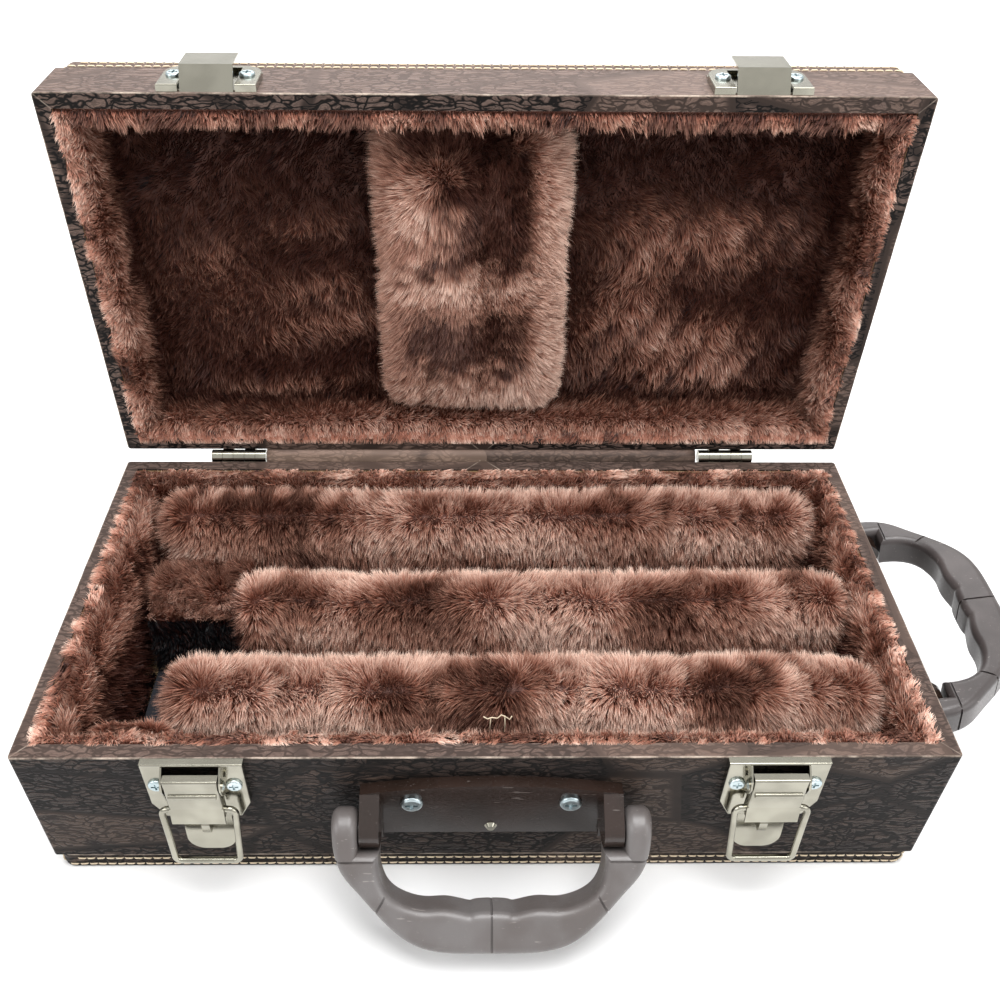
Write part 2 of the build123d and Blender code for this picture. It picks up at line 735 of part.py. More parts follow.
def bracket_pop_rivet(face):
    """The small domed rivet under the middle of a bracket."""
    with BuildPart() as rivet:
        across, up = bracket_rivet[0]
        with Locations(face.location * Location((across, up, plate_w - 3.0))):
            Cylinder(1.5, 6.0)
        with Locations(face.location * Location((across, up, plate_w + 0.6))):
            Cone(2.5, 1.5, 1.2)
    return rivet


front_bracket_rivet = bracket_pop_rivet(front_face)
side_bracket_rivet = bracket_pop_rivet(right_face)

# ---- labels and files: the base pieces stand as drawn, the lid pieces are swung open ----
base_pieces = {
    "base_front_wall": base_front_wall,
    "base_back_wall": base_back_wall,
    "base_left_wall": base_left_wall,
    "base_right_wall": base_right_wall,
    "base_bottom_board": base_bottom_board,
    "base_bottom_cap": base_bottom_cap,
    "base_covering": base_covering,
    "base_front_liner": base_front_liner,
    "base_back_liner": base_back_liner,
    "base_left_liner": base_left_liner,
    "base_right_liner": base_right_liner,
    "base_floor_liner": base_floor_liner,
    "bell_well_floor": bell_well_floor,
    "back_ridge": back_ridge,
    "middle_ridge": middle_ridge,
    "front_ridge": front_ridge,
    "front_end_block": front_end_block,
    "barrel_shelf": barrel_shelf,
    "hinge_left_lower": hinge_left_lower,
    "hinge_right_lower": hinge_right_lower,
    "hinge_left_upper": hinge_left_upper,
    "hinge_right_upper": hinge_right_upper,
    "hinge_pins": hinge_pins,
    "hinge_lower_rivets": hinge_lower_rivets,
    "hinge_strip_lower": hinge_strip_lower,
    "latch_left_pan": latch_left_pan,
    "latch_right_pan": latch_right_pan,
    "latch_left_lever": latch_left_lever,
    "latch_right_lever": latch_right_lever,
    "latch_left_bail": latch_left_bail,
    "latch_right_bail": latch_right_bail,
    "latch_pivot_pins": latch_pivot_pins,
    "latch_screws": latch_screws,
    "front_handle_bracket": front_handle_bracket,
    "side_handle_bracket": side_handle_bracket,
    "front_handle_grip": front_handle_grip,
    "side_handle_grip": side_handle_grip,
    "front_bracket_screws": front_bracket_screws,
    "side_bracket_screws": side_bracket_screws,
    "front_bracket_rivet": front_bracket_rivet,
    "side_bracket_rivet": side_bracket_rivet,
}
lid_pieces = {
    "lid_front_wall": lid_front_wall,
    "lid_back_wall": lid_back_wall,
    "lid_left_wall": lid_left_wall,
    "lid_right_wall": lid_right_wall,
    "lid_top_board": lid_top_board,
    "lid_top_cap": lid_top_cap,
    "lid_covering": lid_covering,
    "lid_front_liner": lid_front_liner,
    "lid_back_liner": lid_back_liner,
    "lid_left_liner": lid_left_liner,
    "lid_right_liner": lid_right_liner,
    "lid_roof_liner": lid_roof_liner,
    "lid_centre_pad": lid_centre_pad,
    "keeper_left": keeper_left,
    "keeper_right": keeper_right,
    "keeper_screws": keeper_screw_group,
    "hinge_upper_rivets": hinge_upper_rivets,
    "hinge_strip_upper": hinge_strip_upper,
}
os.makedirs("parts", exist_ok=True)
for name, piece in base_pieces.items():
    piece.part.label = name
    export_step(piece.part, f"parts/{name}.step")
for name, piece in lid_pieces.items():
    piece.part = piece.part.rotate(hinge_axis, -lid_angle)
    piece.part.label = name
    export_step(piece.part, f"parts/{name}.step")
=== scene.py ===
import math

import bpy
import numpy as np
from mathutils import Matrix, Vector


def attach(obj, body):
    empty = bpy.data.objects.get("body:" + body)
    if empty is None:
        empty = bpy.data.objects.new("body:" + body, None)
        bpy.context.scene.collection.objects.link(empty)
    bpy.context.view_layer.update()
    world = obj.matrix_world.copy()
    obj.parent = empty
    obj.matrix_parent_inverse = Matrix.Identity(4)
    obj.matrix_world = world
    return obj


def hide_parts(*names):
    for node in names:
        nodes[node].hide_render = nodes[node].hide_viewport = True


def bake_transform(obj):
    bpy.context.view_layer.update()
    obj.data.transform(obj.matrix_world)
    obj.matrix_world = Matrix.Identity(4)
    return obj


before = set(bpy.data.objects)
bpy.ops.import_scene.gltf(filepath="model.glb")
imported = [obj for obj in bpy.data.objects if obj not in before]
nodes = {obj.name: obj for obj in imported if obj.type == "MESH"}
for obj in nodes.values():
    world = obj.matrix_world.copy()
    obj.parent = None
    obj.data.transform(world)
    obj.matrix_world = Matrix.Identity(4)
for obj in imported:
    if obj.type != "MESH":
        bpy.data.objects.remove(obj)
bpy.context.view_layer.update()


# ---- Small tools used by every section ----------------------------------------------
def linear(code):
    """Linear RGBA of an sRGB hex colour.

    Each channel v is v / 12.92 where it is small, and ((v + 0.055) / 1.055) ^ 2.4 elsewhere."""
    values = [int(code[i : i + 2], 16) / 255 for i in (1, 3, 5)]
    return (*(v / 12.92 if v <= 0.04045 else ((v + 0.055) / 1.055) ** 2.4 for v in values), 1.0)


def add_node(tree, kind, options=None, **inputs):
    """Adds a shader node. Inputs are named after its sockets, with values or other nodes' sockets."""
    new = tree.nodes.new("ShaderNode" + kind)
    for key, value in (options or {}).items():
        setattr(new, key, value)
    for key, value in inputs.items():
        socket = new.inputs[int(key[1:])] if key[1:].isdigit() else new.inputs[key.replace("_", " ")]
        if isinstance(value, bpy.types.NodeSocket):
            tree.links.new(value, socket)
        else:
            socket.default_value = value
    return new


def arith(tree, operation, a, b=0.0, c=0.0):
    """One maths step on two or three numbers or sockets."""
    return add_node(tree, "Math", {"operation": operation}, i0=a, i1=b, i2=c).outputs[0]


def between(tree, value, low, high, to_low=0.0, to_high=1.0):
    """The value, spread so that low becomes to_low and high becomes to_high, held inside them."""
    smooth = {"interpolation_type": "SMOOTHSTEP"}
    return add_node(tree, "MapRange", smooth, i0=value, i1=low, i2=high, i3=to_low, i4=to_high).outputs[0]


def vector_step(tree, operation, a, b):
    """One maths step on two vectors or sockets."""
    return add_node(tree, "VectorMath", {"operation": operation}, i0=a, i1=b).outputs[0]


def mixed(tree, factor, a, b):
    """Two colours mixed by a factor."""
    a, b = (linear(c) if isinstance(c, str) else c for c in (a, b))
    return add_node(tree, "Mix", {"data_type": "RGBA"}, i0=factor, i6=a, i7=b).outputs[2]


def new_material(name):
    """A material with an empty node tree but for its Principled shader, and that tree and shader."""
    material = bpy.data.materials.new(name)
    material.use_nodes = True
    tree = material.node_tree
    return material, tree, tree.nodes["Principled BSDF"]


def dress(material, *names):
    """Gives CAD nodes their material."""
    for name in names:
        nodes[name].data.materials.clear()
        nodes[name].data.materials.append(material)


def mesh_object(name, points, faces, material):
    """A smooth-shaded mesh object at the origin from points in millimetres."""
    mesh = bpy.data.meshes.new(name)
    metres = (np.asarray(points, float) / 1000).tolist()
    mesh.from_pydata(metres, [], [tuple(int(i) for i in f) for f in faces])
    mesh.materials.append(material)
    mesh.validate()
    mesh.polygons.foreach_set("use_smooth", [True] * len(mesh.polygons))
    made = bpy.data.objects.new(name, mesh)
    bpy.context.collection.objects.link(made)
    return made


def tube_faces(first, rings):
    """Faces of a closed tube of six-sided rings, whose points are numbered from first on."""
    faces = []
    for k in range(rings - 1):
        for i in range(6):
            a, b = first + 6 * k + i, first + 6 * k + (i + 1) % 6
            faces.append((a, b, b + 6, a + 6))
    last = first + 6 * (rings - 1)
    faces.append([first + i for i in range(5, -1, -1)])
    faces.append([last + i for i in range(6)])
    return faces


def opened(points):
    """Points of the closed lid, turned back 90 degrees about the hinge line."""
    hinge_y, hinge_z = 93.2, 78.0
    p = np.asarray(points, float)
    return np.stack([p[..., 0], hinge_y + (p[..., 2] - hinge_z), hinge_z - (p[..., 1] - hinge_y)], -1)


# ---- Studio -------------------------------------------------------------------------
# The open case stands on a white table, seen from a little over a forearm's length away
# and from above its front edge. Soft boxes light it from overhead and from each side, and
# a fourth one lights the table behind it.
camera_data = bpy.data.cameras.new("camera")
camera_data.lens = 36.38
camera_data.sensor_width = 36.0
camera_data.shift_x = 0.01938
camera_data.shift_y = -0.00543
camera_data.clip_start = 0.02
camera = bpy.data.objects.new("camera", camera_data)
bpy.context.collection.objects.link(camera)
camera.matrix_world = (
    Matrix.Translation((-0.0076614, -0.3132858, 0.3995482))
    @ Matrix.Rotation(-0.0167846, 4, "Z")
    @ Matrix.Rotation(math.pi / 2 - 0.7071369, 4, "X")
    @ Matrix.Rotation(0.0115486, 4, "Z")
)
bpy.context.scene.camera = camera

for name, place, aim, side, power in (
    ("overhead_box", (0.1, 0.0, 1.3), (0, 0.05, 0.1), 0.9, 21.0),
    ("left_box", (-1.1, -0.6, 0.9), (0, 0, 0.08), 0.9, 8.0),
    ("right_box", (1.1, -0.7, 0.8), (0, 0, 0.08), 0.9, 7.0),
    ("backdrop_box", (0, 1.7, 1.2), (0, 1.8, 0), 1.6, 30.0),
):
    light = bpy.data.lights.new(name, "AREA")
    light.size = side
    light.energy = power
    lamp = bpy.data.objects.new(name, light)
    bpy.context.collection.objects.link(lamp)
    lamp.location = place
    lamp.rotation_euler = (Vector(aim) - Vector(place)).to_track_quat("-Z", "Y").to_euler()

world = bpy.data.worlds.new("studio")
bpy.context.scene.world = world
world.use_nodes = True
sky = world.node_tree
sky.nodes["Background"].inputs["Color"].default_value = (1, 1, 1, 1)
rays = add_node(sky, "LightPath")
seen = arith(sky, "MAXIMUM", rays.outputs["Is Camera Ray"], rays.outputs["Is Glossy Ray"])
seen = arith(sky, "MAXIMUM", seen, rays.outputs["Is Transmission Ray"])
sky.links.new(between(sky, seen, 0.0, 1.0, 0.5, 1.0), sky.nodes["Background"].inputs["Strength"])
bpy.context.scene.view_settings.view_transform = "Standard"

table_white, tree, shader = new_material("matt_white_table")
shader.inputs["Base Color"].default_value = (0.97, 0.97, 0.97, 1)
shader.inputs["Roughness"].default_value = 0.9
corners = [(-1500, -900, 0), (1500, -900, 0), (1500, 2200, 0), (-1500, 2200, 0)]
floor = mesh_object("table_top", corners, [(0, 1, 2, 3)], table_white)


# ---- Leatherette --------------------------------------------------------------------
# Paper-backed leatherette glued over the plywood: a print of wedge-shaped brown pieces
# with near-black bands and smoother worn pieces among them, a black crackle that runs
# along each wall, pale lines along the rim, and a painted sheen on what faces up.
def leatherette(name, on_lid, crackle=1.0, grounds=("#50423a", "#3a2e28", "#55463d")):
    """The covering's finish. A lid's pattern is laid out as if the lid were closed.

    grounds are the leatherette's colour, its darker streaks and its worn pieces, and
    crackle is the strength of the black ink on them."""
    half_length, half_width, rim_height = 0.180, 0.089, 0.078
    fold_height = 0.108 if on_lid else 0.0094
    material, tree, shader = new_material(name)
    where = add_node(tree, "TexCoord")
    place = where.outputs["Object"]
    if on_lid:
        turn = add_node(tree, "Mapping", i0=place, i1=(0, 0.1712, -0.0152), i2=(math.pi / 2, 0, 0))
        place = turn.outputs[0]
    x, y, z = add_node(tree, "SeparateXYZ", i0=place).outputs
    facing_x, facing_y, facing_z = add_node(tree, "SeparateXYZ", i0=where.outputs["Normal"]).outputs
    end_wall = arith(tree, "GREATER_THAN", arith(tree, "ABSOLUTE", facing_x), 0.7)
    along_front = add_node(tree, "CombineXYZ", i0=x, i1=y, i2=z).outputs[0]
    along_end = add_node(tree, "CombineXYZ", i0=y, i1=x, i2=z).outputs[0]
    vectors = {"data_type": "VECTOR"}
    laid = add_node(tree, "Mix", vectors, i0=end_wall, i4=along_front, i5=along_end).outputs[1]
    wander = add_node(tree, "TexNoise", Vector=laid, Scale=70.0, Detail=3.0).outputs["Color"]
    wander = vector_step(tree, "SUBTRACT", wander, (0.5, 0.5, 0.5))
    wander = vector_step(tree, "MULTIPLY", wander, (0.009, 0.009, 0.009))
    drawn = vector_step(tree, "ADD", vector_step(tree, "MULTIPLY", laid, (0.24, 1.0, 1.0)), wander)

    # The crackle: two nets of cracks, and fine streaks.
    to_edge = {"feature": "DISTANCE_TO_EDGE"}
    cells = add_node(tree, "TexVoronoi", to_edge, Vector=drawn, Scale=440.0).outputs["Distance"]
    cells = between(tree, cells, 0.05, 0.2, 1.0, 0.0)
    small = add_node(tree, "TexVoronoi", to_edge, Vector=drawn, Scale=1250.0).outputs["Distance"]
    small = between(tree, small, 0.04, 0.14, 0.4, 0.0)
    streak = add_node(tree, "TexNoise", Vector=drawn, Scale=420.0, Detail=4.0, Roughness=0.65).outputs["Fac"]
    cracks = arith(tree, "MAXIMUM", arith(tree, "MAXIMUM", cells, small), between(tree, streak, 0.56, 0.64))

    # The print: slanting wedges with seams round them, some of them navy and some worn.
    tilt = (0, math.radians(27), math.radians(14))
    tilted = add_node(tree, "Mapping", i0=laid, i2=tilt, i3=(13.0, 16.0, 24.0)).outputs[0]
    pieces = add_node(tree, "TexVoronoi", Vector=tilted, Scale=1.0).outputs["Color"]
    lot = add_node(tree, "SeparateXYZ", i0=pieces).outputs[0]
    seam = add_node(tree, "TexVoronoi", to_edge, Vector=tilted, Scale=1.0).outputs["Distance"]
    seams = between(tree, seam, 0.015, 0.06, 1.0, 0.0)
    bands = add_node(tree, "TexNoise", Vector=tilted, Scale=2.2, Detail=2.0).outputs["Fac"]
    navy = arith(tree, "MAXIMUM", between(tree, bands, 0.54, 0.64), between(tree, lot, 0.3, 0.32, 0.55, 0.0))
    worn = between(tree, lot, 0.8, 0.82)

    ink = arith(tree, "MULTIPLY", cracks, between(tree, worn, 0.0, 1.0, crackle, 0.75 * crackle))
    ink = arith(tree, "MAXIMUM", ink, arith(tree, "MULTIPLY", seams, 0.8 * crackle))
    ground = mixed(tree, between(tree, streak, 0.3, 0.5), grounds[0], grounds[1])
    ground = mixed(tree, arith(tree, "MULTIPLY", worn, 0.6), ground, grounds[2])
    ground = mixed(tree, arith(tree, "MULTIPLY", navy, 0.75), ground, "#231e1e")
    # What faces up while the case is open gets a painted sheen, paler and with its ink faded, and so does the
    # lid's forward-facing rim a little.
    painted_sheen = between(tree, facing_z, 0.6, 0.9, 0.0, 0.55 if on_lid else 0.4)
    ground = mixed(tree, painted_sheen, ground, "#8d766c")
    if on_lid:
        ground = mixed(tree, between(tree, facing_y, -0.9, -0.6, 0.4, 0.0), ground, "#8d766c")
    ink = arith(tree, "MULTIPLY", ink, between(tree, painted_sheen, 0.0, 0.55, 1.0, 0.55))
    colour = mixed(tree, ink, ground, "#0d0a09")

    # Pale lines: along the rim's front and end edges, at the fold at the cap and at the rim's mitred corners.
    from_end = arith(tree, "SUBTRACT", half_length, arith(tree, "ABSOLUTE", x))
    from_front = arith(tree, "ADD", half_width, y)
    from_rim = arith(tree, "ABSOLUTE", arith(tree, "SUBTRACT", z, rim_height))
    edge = between(tree, arith(tree, "MINIMUM", from_end, from_front), 0.0003, 0.0007, 1.0, 0.0)
    edge = arith(tree, "MULTIPLY", edge, between(tree, from_rim, 0.0004, 0.0009, 0.9, 0.0))
    fold = arith(tree, "ABSOLUTE", arith(tree, "SUBTRACT", z, fold_height))
    edge = arith(tree, "MAXIMUM", edge, between(tree, fold, 0.0004, 0.0008, 0.8, 0.0))
    mitre = arith(tree, "ABSOLUTE", arith(tree, "SUBTRACT", from_end, from_front))
    mitre = between(tree, mitre, 0.0002, 0.0005, 0.5, 0.0)
    mitre = arith(tree, "MULTIPLY", mitre, between(tree, from_rim, 0.0002, 0.0004, 1.0, 0.0))
    rubbed = add_node(tree, "TexNoise", Vector=place, Scale=60.0, Detail=5.0, Roughness=0.7).outputs["Fac"]
    pale = arith(tree, "MAXIMUM", edge, mitre)
    pale = arith(tree, "MULTIPLY", pale, between(tree, rubbed, 0.4, 0.64, 0.1, 0.95))
    colour = mixed(tree, pale, colour, "#c9b8a8")
    tree.links.new(colour, shader.inputs["Base Color"])
    tree.links.new(between(tree, ink, 0.0, 1.0, 0.4, 0.6), shader.inputs["Roughness"])
    shader.inputs["Specular IOR Level"].default_value = 0.13
    raised = arith(tree, "SUBTRACT", 1.0, ink)
    bump = add_node(tree, "Bump", Strength=0.7, Distance=0.0004, Height=raised).outputs[0]
    tree.links.new(bump, shader.inputs["Normal"])
    return material


base_leather = leatherette("crackled_leatherette_base", False)
lid_leather = leatherette("crackled_leatherette_lid", True)
dress(base_leather, "base_covering", "base_bottom_cap")
dress(lid_leather, "lid_covering", "lid_top_cap")

plywood, tree, shader = new_material("bare_poplar_plywood")
grain = add_node(tree, "TexCoord").outputs["Object"]
grain = vector_step(tree, "MULTIPLY", grain, (0.1, 1.0, 1.0))
plies = add_node(tree, "TexNoise", Vector=grain, Scale=400.0, Detail=4.0).outputs["Fac"]
tree.links.new(mixed(tree, plies, "#c7ab82", "#9c7c54"), shader.inputs["Base Color"])
shader.inputs["Roughness"].default_value = 0.8
for half in ("base", "lid"):
    dress(plywood, *(f"{half}_{side}_wall" for side in ("front", "back", "left", "right")))
dress(plywood, "base_bottom_board", "lid_top_board")


# ---- Stitching round both end caps --------------------------------------------------
# Two rows of thick cream thread run round the turned-up band of each cap, lockstitched
# through leatherette and board. Each stitch is plump in its middle and pulled in at both
# ends.
thread, tree, shader = new_material("cream_cotton_thread")
where = add_node(tree, "TexCoord").outputs["Object"]
fuzz = add_node(tree, "TexNoise", Vector=where, Scale=1500.0, Detail=2.0).outputs["Fac"]
tree.links.new(mixed(tree, fuzz, "#f0e4cc", "#c5ab88"), shader.inputs["Base Color"])
shader.inputs["Roughness"].default_value = 0.8


def stitch_row(height, seed):
    """Each stitch's x, y, z, its outward direction's x and y, and its slope.

    The row runs round a rectangle with rounded corners: the front, a corner, the right
    end and a corner again, then the same half once more, turned by 180 degrees."""
    rng = np.random.default_rng(seed)
    half_x, half_y, r, spacing = 179.4, 88.4, 6.0, 3.95
    sides = (2 * (half_x - r), math.pi * r / 2, 2 * (half_y - r), math.pi * r / 2)
    spots = np.arange(0, 2 * sum(sides) - 3.9, spacing)
    for s in spots + rng.uniform(-0.15, 0.15, len(spots)):
        quarter = s % sum(sides)
        half_turn = s >= sum(sides)
        if quarter < sides[0]:
            p, out = (-half_x + r + quarter, -half_y), (0, -1)
        elif quarter < sides[0] + sides[1]:
            a = (quarter - sides[0]) / r - math.pi / 2
            p, out = (half_x - r + r * math.cos(a), -half_y + r + r * math.sin(a)), (math.cos(a), math.sin(a))
        elif quarter < sum(sides[:3]):
            p, out = (half_x, -half_y + r + quarter - sides[0] - sides[1]), (1, 0)
        else:
            a = (quarter - sum(sides[:3])) / r
            p, out = (half_x - r + r * math.cos(a), half_y - r + r * math.sin(a)), (math.cos(a), math.sin(a))
        sign = -1 if half_turn else 1
        yield sign * p[0], sign * p[1], height, sign * out[0], sign * out[1], rng.uniform(-0.12, 0.12)


def stitches(name, heights, body):
    """One mesh of all the stitches on a cap. Each is a six-sided spindle 3.5 mm long.

    The spindle's tip and shoulder each give a distance along it, a thickness and a lift."""
    tip, shoulder, radius = (1.75, 0.5, -0.1), (1.1, 1.0, 0.25), 0.35
    spindle = [(-tip[0], *tip[1:]), (-shoulder[0], *shoulder[1:]), shoulder, tip]
    points, faces = [], []
    ring = [(math.cos(a), math.sin(a)) for a in np.arange(6) * math.pi / 3]
    for row, height in enumerate(heights):
        for x, y, z, nx, ny, tilt in stitch_row(height, row + 7):
            along = np.array([-ny, nx, tilt])
            out = np.array([nx, ny, 0])
            faces += tube_faces(len(points), 4)
            for step, thick, lift in spindle:
                centre = np.array([x, y, z]) + along * step + out * lift
                high = np.array([0, 0, 0.36 * thick])
                points += [centre + out * radius * thick * a + high * b for a, b in ring]
    points = opened(points) if body == "lid" else np.array(points)
    made = mesh_object(name, points, faces, thread)
    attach(made, body)


stitches("base_cap_stitches", (2.4, 6.7), "base")
stitches("lid_cap_stitches", (110.8, 115.1), "lid")


# ---- Hinge strip --------------------------------------------------------------------
# One strip of smoother leatherette glued to both back walls, so that it hides the gap
# between the hinges. It is bent at the hinge line, as it lies with the lid open. Its
# section is a line of y and z points that is given a thickness.
strip_leather = leatherette("smooth_leatherette_strip", False, 0.55, ("#8a7365", "#6b584d", "#8a7466"))
thickness, left_end, right_end = 0.8, -109.8, 108.6
up_the_base = [(89.05, 61.0), (89.05, 68.0), (89.05, 75.0), (89.4, 77.8), (90.6, 79.9)]
along_the_lid = [(92.4, 81.3), (94.6, 81.95), (98.0, 82.15), (104.0, 82.15), (110.2, 82.15)]
path = np.array(up_the_base + along_the_lid)
heading = np.gradient(path, axis=0)
away = np.stack([heading[:, 1], -heading[:, 0]], 1) / np.linalg.norm(heading, axis=1)[:, None]
section = np.concatenate([path, (path + away * thickness)[::-1]])
columns = np.linspace(left_end, right_end, 40)
count = len(section)
points = [(x, y, z) for x in columns for y, z in section]
faces = [
    (c * count + i, c * count + (i + 1) % count, (c + 1) * count + (i + 1) % count, (c + 1) * count + i)
    for c in range(len(columns) - 1)
    for i in range(count)
]
faces += [list(range(count))[::-1], [(len(columns) - 1) * count + i for i in range(count)]]
hinge_strip = mesh_object("hinge_strip", points, faces, strip_leather)
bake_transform(hinge_strip)
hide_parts("hinge_strip_lower", "hinge_strip_upper")


# ---- Metal parts --------------------------------------------------------------------
# Pressed steel latches and hinges with a warm nickel plate, and blue-white zinc screws.
# The plate is bright on the bends and a little clouded by handling elsewhere.
def plated(name, bright, clouded, gloss):
    """A plated metal with soft clouds of handling and fine scratches."""
    material, tree, shader = new_material(name)
    where = add_node(tree, "TexCoord").outputs["Object"]
    clouds = add_node(tree, "TexNoise", Vector=where, Scale=70.0, Detail=2.0).outputs["Fac"]
    cloud = between(tree, clouds, 0.35, 0.65)
    tree.links.new(mixed(tree, cloud, bright, clouded), shader.inputs["Base Color"])
    shader.inputs["Metallic"].default_value = 1.0
    tree.links.new(between(tree, cloud, 0.0, 1.0, gloss, gloss + 0.06), shader.inputs["Roughness"])
    drawn = vector_step(tree, "MULTIPLY", where, (0.12, 1.0, 1.0))
    scratches = add_node(tree, "TexNoise", Vector=drawn, Scale=2600.0, Detail=2.0).outputs["Fac"]
    bump = add_node(tree, "Bump", Strength=0.05, Distance=0.0001, Height=scratches).outputs[0]
    tree.links.new(bump, shader.inputs["Normal"])
    return material


nickel = plated("warm_nickel_plate", "#a19e91", "#8f8c80", 0.14)
zinc = plated("blue_white_zinc", "#cfd9dc", "#a7b5b8", 0.24)
for side in ("left", "right"):
    dress(nickel, f"latch_{side}_pan", f"latch_{side}_lever", f"latch_{side}_bail", f"keeper_{side}")
    dress(nickel, f"hinge_{side}_lower", f"hinge_{side}_upper")
dress(nickel, "latch_pivot_pins", "hinge_pins", "hinge_lower_rivets", "hinge_upper_rivets")
dress(nickel, "front_bracket_rivet", "side_bracket_rivet")
dress(zinc, "latch_screws", "keeper_screws", "front_bracket_screws", "side_bracket_screws")


# ---- Handles ------------------------------------------------------------------------
# Injection-moulded grips, semi-gloss grey-brown and finely scuffed, in glossier dark
# brown brackets. The side grip is the same plastic, given a darker copy as painted shade.
def moulded(name, main, shade, gloss, scuffs):
    """A moulded plastic with faint mottling and fine pale scuffs."""
    material, tree, shader = new_material(name)
    where = add_node(tree, "TexCoord").outputs["Object"]
    mottle = add_node(tree, "TexNoise", Vector=where, Scale=45.0, Detail=3.0).outputs["Fac"]
    specks = add_node(tree, "TexNoise", Vector=where, Scale=1100.0, Detail=3.0, Roughness=0.7).outputs["Fac"]
    lines = vector_step(tree, "MULTIPLY", where, (0.2, 1.0, 1.0))
    lines = add_node(tree, "TexNoise", Vector=lines, Scale=620.0, Detail=2.0).outputs["Fac"]
    rubbed = arith(tree, "MAXIMUM", between(tree, specks, 0.66, 0.72), between(tree, lines, 0.69, 0.73))
    colour = mixed(tree, between(tree, mottle, 0.35, 0.65), main, shade)
    colour = mixed(tree, arith(tree, "MULTIPLY", rubbed, scuffs), colour, "#cfc6c0")
    tree.links.new(colour, shader.inputs["Base Color"])
    tree.links.new(between(tree, specks, 0.3, 0.7, gloss, gloss + 0.12), shader.inputs["Roughness"])
    pits = add_node(tree, "TexNoise", Vector=where, Scale=900.0, Detail=3.0).outputs["Fac"]
    bump = add_node(tree, "Bump", Strength=0.15, Distance=0.0002, Height=pits).outputs[0]
    tree.links.new(bump, shader.inputs["Normal"])
    return material


grip_plastic = moulded("scuffed_grey_brown_plastic", "#686463", "#5a5452", 0.3, 0.2)
# The side grip: the grip plastic darkened, a painted shade.
side_grip_plastic_painted_shade = moulded("grey_brown_plastic_painted_shade", "#4b4443", "#3d3736", 0.3, 0.2)
bracket_plastic = moulded("glossy_dark_brown_plastic", "#2b1f1a", "#221813", 0.13, 0.12)
dress(grip_plastic, "front_handle_grip")
dress(side_grip_plastic_painted_shade, "side_handle_grip")
dress(bracket_plastic, "front_handle_bracket", "side_handle_bracket")


# ---- Fur pile -----------------------------------------------------------------------
# The lining is long plush glued over foam and plywood formers: a dense dark brown ground
# with glossy fibres 4 to 9 mm long that gather in locks and turn pinkish at their tips; the
# pale tips and dark roots are partly the pile's own colour and partly painted sheen and
# painted shade. A fibre's tone and its root-to-tip place are kept in the OFBake map, so the
# colour of every fibre is its own; the tone holds the pile's own differences together with
# painted light and shade. A tone near 0 is the bell well's near-black pile.
pile, tree, shader = new_material("long_brown_plush_pile")
fibre = add_node(tree, "UVMap", {"uv_map": "OFBake"}).outputs[0]
tone, reach, _ = add_node(tree, "SeparateXYZ", i0=fibre).outputs
# The bright, brown and shaded ramps are one pile colour lit and shaded: painted light and painted shade.
bright = mixed(tree, between(tree, reach, 0.0, 0.6), "#5f2f21", "#c48d78")
bright = mixed(tree, between(tree, reach, 0.5, 1.0), bright, "#fbdfcd")
brown = mixed(tree, between(tree, reach, 0.0, 0.6), "#451b11", "#935a47")
brown = mixed(tree, between(tree, reach, 0.5, 1.0), brown, "#c69883")
shaded = mixed(tree, between(tree, reach, 0.1, 1.0), "#160805", "#47231b")
lower = mixed(tree, between(tree, tone, 0.0, 0.5), shaded, brown)
lower = mixed(tree, between(tree, tone, 0.0, 0.03), "#07070c", lower)
tree.links.new(mixed(tree, between(tree, tone, 0.5, 1.0), lower, bright), shader.inputs["Base Color"])
shader.inputs["Roughness"].default_value = 0.48
shader.inputs["Specular IOR Level"].default_value = 0.3


def normals_of(grid):
    """Unit normals of a point grid: the cross product of its two directions of travel."""
    cross = np.cross(np.gradient(grid, axis=0), np.gradient(grid, axis=1))
    return cross / np.maximum(np.linalg.norm(cross, axis=2, keepdims=True), 1e-9)


def mounded(x, y, z, round_r, seed, steps):
    """A block whose top edges and ends are rounded by this radius, as a grid that is run along x.

    Each ring goes up the front, over the top and down the back: a straight side, then a
    superellipse |s|^4 + |t|^4 = 1, so the ring is flat-sided with soft shoulders. Towards
    both ends the ring shrinks as a quarter circle does. A little noise leaves it uneven."""
    rng = np.random.default_rng(seed)
    u = np.linspace(0, 1, steps[0])
    t = np.linspace(0, 1, steps[1])
    lx = x[0] + (x[1] - x[0]) * u
    near_end = np.minimum(lx - x[0], x[1] - lx)
    shrink = np.sqrt(np.clip(1 - (1 - np.clip(near_end / round_r, 0, 1)) ** 2, 0, 1))
    a = math.pi * (1 - t)
    across = np.sign(np.cos(a)) * np.abs(np.cos(a)) ** 0.5
    up = np.abs(np.sin(a)) ** 0.5
    mid, half, high = (y[0] + y[1]) / 2, (y[1] - y[0]) / 2, z[1] - z[0]
    inward = (1 - shrink) * round_r
    swell = 0.8
    wave = sum(
        np.sin(u[:, None] * rng.uniform(4, 26) + t[None] * rng.uniform(-5, 5) + rng.uniform(0, 6))
        for _ in range(5)
    )
    grid = np.empty((len(u), len(t), 3))
    grid[..., 0] = lx[:, None]
    grid[..., 1] = mid + across[None] * np.maximum(half - inward * 0.8, 1)[:, None]
    grid[..., 2] = z[0] + up[None] * np.maximum(high - inward, 2)[:, None] + wave * swell * up[None] * 0.35
    return grid


